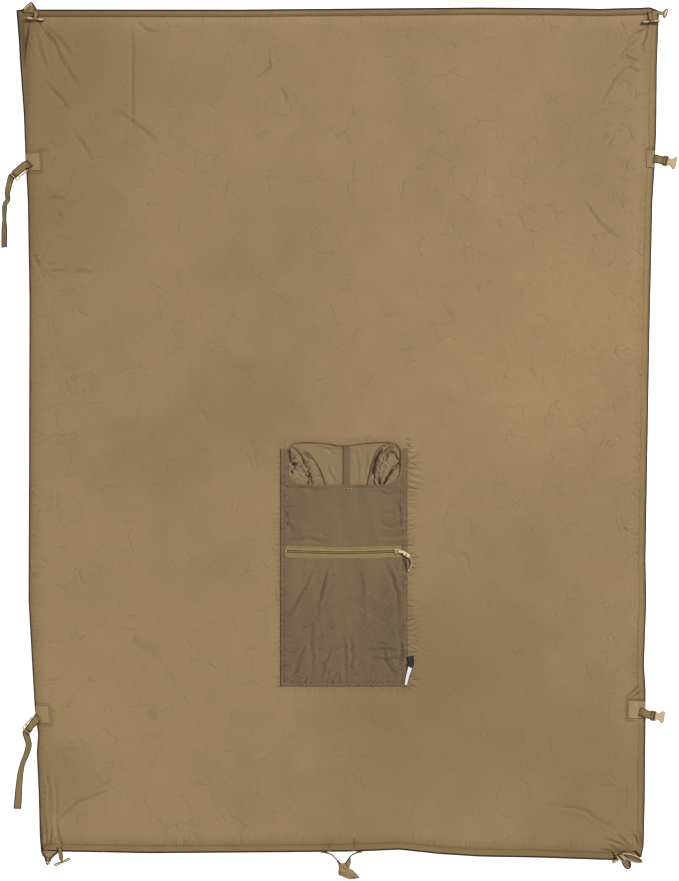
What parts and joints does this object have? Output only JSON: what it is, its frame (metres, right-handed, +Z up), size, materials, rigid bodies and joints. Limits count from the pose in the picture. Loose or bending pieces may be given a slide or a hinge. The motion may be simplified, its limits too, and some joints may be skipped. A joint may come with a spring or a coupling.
{
  "type": "layout field blind",
  "caption": "Thin insulated tan blanket with a hood stowed behind a zipped pouch, edge straps with side-release buckles, and loops and toggles at the corners.",
  "frame": {"origin": "middle of the underside, at the centre of the whole object's footprint", "axes": "+X to the right seen from above, +Y towards the top edge, +Z up out of the face"},
  "size_m": [1.5594, 2.024, 0.0164],
  "materials": {
    "shell_cloth": "satin",
    "hem_cloth": "satin",
    "insulation": "matte",
    "pouch_cloth": "satin",
    "webbing": "matte",
    "patch_cloth": "matte",
    "zip_tape": "matte",
    "zip_coil": "satin",
    "slider_metal": "satin",
    "moulded_tan": "satin",
    "cord": "matte",
    "label_light": "satin",
    "label_dark": "satin",
    "thread": "matte"
  },
  "bodies": {
    "blanket": {"back_shell": "shell_cloth", "insulation_batt": "insulation", "face_shell": "shell_cloth", "hem_bottom": "hem_cloth", "hem_right": "hem_cloth", "hem_top": "hem_cloth", "hem_left": "hem_cloth", "edge_zip_coil": "zip_coil", "hood_back_panel": "shell_cloth", "hood_seam_tape": "hem_cloth", "hood_gather_left": "shell_cloth", "hood_gather_right": "shell_cloth", "neck_edge_binding": "hem_cloth", "pouch_upper_panel": "pouch_cloth", "pouch_lower_panel": "pouch_cloth", "pouch_zip_tape_upper": "zip_tape", "pouch_zip_tape_lower": "zip_tape", "pouch_zip_coil": "zip_coil", "pouch_zip_stops": "zip_coil", "label_light": "label_light", "label_dark": "label_dark", "patch_right_upper": "patch_cloth", "patch_right_lower": "patch_cloth", "patch_left_upper": "patch_cloth", "patch_left_lower": "patch_cloth", "webbing_loop_right_upper": "webbing", "webbing_loop_right_lower": "webbing", "strap_left_upper": "webbing", "strap_left_lower": "webbing", "male_frame_upper": "moulded_tan", "male_frame_lower": "moulded_tan", "corner_loop_top_left": "webbing", "corner_loop_bottom_left": "webbing", "corner_loop_top_right": "webbing", "corner_loop_bottom_right": "webbing", "hang_loop": "webbing", "bar_tacks": "thread", "toggle_tape_bottom_right": "webbing"},
    "slider": {"zip_slider": "slider_metal"},
    "pull": {"zip_pull_tab": "moulded_tan", "zip_pull_cord": "cord", "zip_pull_knot": "cord"},
    "female_half_upper": {"female_buckle_upper": "moulded_tan"},
    "female_half_lower": {"female_buckle_lower": "moulded_tan"},
    "prong_upper_front": {"male_prong_upper_front": "moulded_tan"},
    "prong_upper_rear": {"male_prong_upper_rear": "moulded_tan"},
    "prong_lower_front": {"male_prong_lower_front": "moulded_tan"},
    "prong_lower_rear": {"male_prong_lower_rear": "moulded_tan"},
    "tape_top_left": {"toggle_tape_top_left": "webbing"},
    "toggle_top_left": {"toggle_top_left": "moulded_tan"},
    "tape_top_right": {"toggle_tape_top_right": "webbing"},
    "toggle_top_right": {"toggle_top_right": "moulded_tan"},
    "tape_bottom_left": {"toggle_tape_bottom_left": "webbing"},
    "toggle_bottom_left": {"toggle_bottom_left": "moulded_tan"},
    "toggle_bottom_right": {"toggle_bottom_right": "moulded_tan"}
  },
  "joints": [
    {"name": "zip_slide", "type": "slide", "parent": "blanket", "child": "slider", "axis": [-1, 0, 0], "range_m": [0, 0.245]},
    {"name": "zip_pull_flip", "type": "hinge", "parent": "slider", "child": "pull", "pos_m": [0.1345, -0.255, 0.0144], "axis": [0, -1, 0], "range_deg": [0, 150]},
    {"name": "female_swing_upper", "type": "hinge", "parent": "blanket", "child": "female_half_upper", "pos_m": [0.7485, 0.6445, 0.0043], "axis": [-0.2198, -0.9755, 0], "range_deg": [0, 100]},
    {"name": "female_swing_lower", "type": "hinge", "parent": "blanket", "child": "female_half_lower", "pos_m": [0.7205, -0.6335, 0.0043], "axis": [-0.165, -0.9863, 0], "range_deg": [0, 100]},
    {"name": "prong_flex_upper_front", "type": "hinge", "parent": "blanket", "child": "prong_upper_front", "pos_m": [-0.73361, 0.60962, 0.0063], "axis": [0, 0, 1], "range_deg": [0, 8], "stiffness_Nm_per_rad": 0.2},
    {"name": "prong_flex_upper_rear", "type": "hinge", "parent": "blanket", "child": "prong_upper_rear", "pos_m": [-0.74473, 0.62274, 0.0063], "axis": [0, 0, -1], "range_deg": [0, 8], "stiffness_Nm_per_rad": 0.2},
    {"name": "prong_flex_lower_front", "type": "hinge", "parent": "blanket", "child": "prong_lower_front", "pos_m": [-0.70635, -0.66246, 0.0063], "axis": [0, 0, 1], "range_deg": [0, 8], "stiffness_Nm_per_rad": 0.2},
    {"name": "prong_flex_lower_rear", "type": "hinge", "parent": "blanket", "child": "prong_lower_rear", "pos_m": [-0.71966, -0.65156, 0.0063], "axis": [0, 0, -1], "range_deg": [0, 8], "stiffness_Nm_per_rad": 0.2},
    {"name": "toggle_lift_top_left", "type": "hinge", "parent": "blanket", "child": "tape_top_left", "pos_m": [-0.69841, 0.98511, 0.0044], "axis": [-0.9945, 0.1045, 0], "range_deg": [0, 120]},
    {"name": "toggle_spin_top_left", "type": "hinge", "parent": "tape_top_left", "child": "toggle_top_left", "pos_m": [-0.7, 0.97, 0.0094], "axis": [0.9945, -0.1045, 0], "continuous": true},
    {"name": "toggle_lift_top_right", "type": "hinge", "parent": "blanket", "child": "tape_top_right", "pos_m": [0.71502, 0.98455, 0.0044], "axis": [-0.9954, -0.0958, 0], "range_deg": [0, 120]},
    {"name": "toggle_spin_top_right", "type": "hinge", "parent": "tape_top_right", "child": "toggle_top_right", "pos_m": [0.717, 0.964, 0.012], "axis": [0.9954, 0.0958, 0], "continuous": true},
    {"name": "toggle_lift_bottom_left", "type": "hinge", "parent": "blanket", "child": "tape_bottom_left", "pos_m": [-0.65072, -0.94339, 0.0044], "axis": [-0.9205, -0.3907, 0], "range_deg": [0, 150]},
    {"name": "toggle_spin_bottom_left", "type": "hinge", "parent": "tape_bottom_left", "child": "toggle_bottom_left", "pos_m": [-0.639, -0.971, 0.0038], "axis": [0.9205, 0.3907, 0], "continuous": true},
    {"name": "toggle_spin_bottom_right", "type": "hinge", "parent": "blanket", "child": "toggle_bottom_right", "pos_m": [0.6445, -0.961, 0.0072], "axis": [0.8192, 0.5736, 0], "continuous": true}
  ]
}
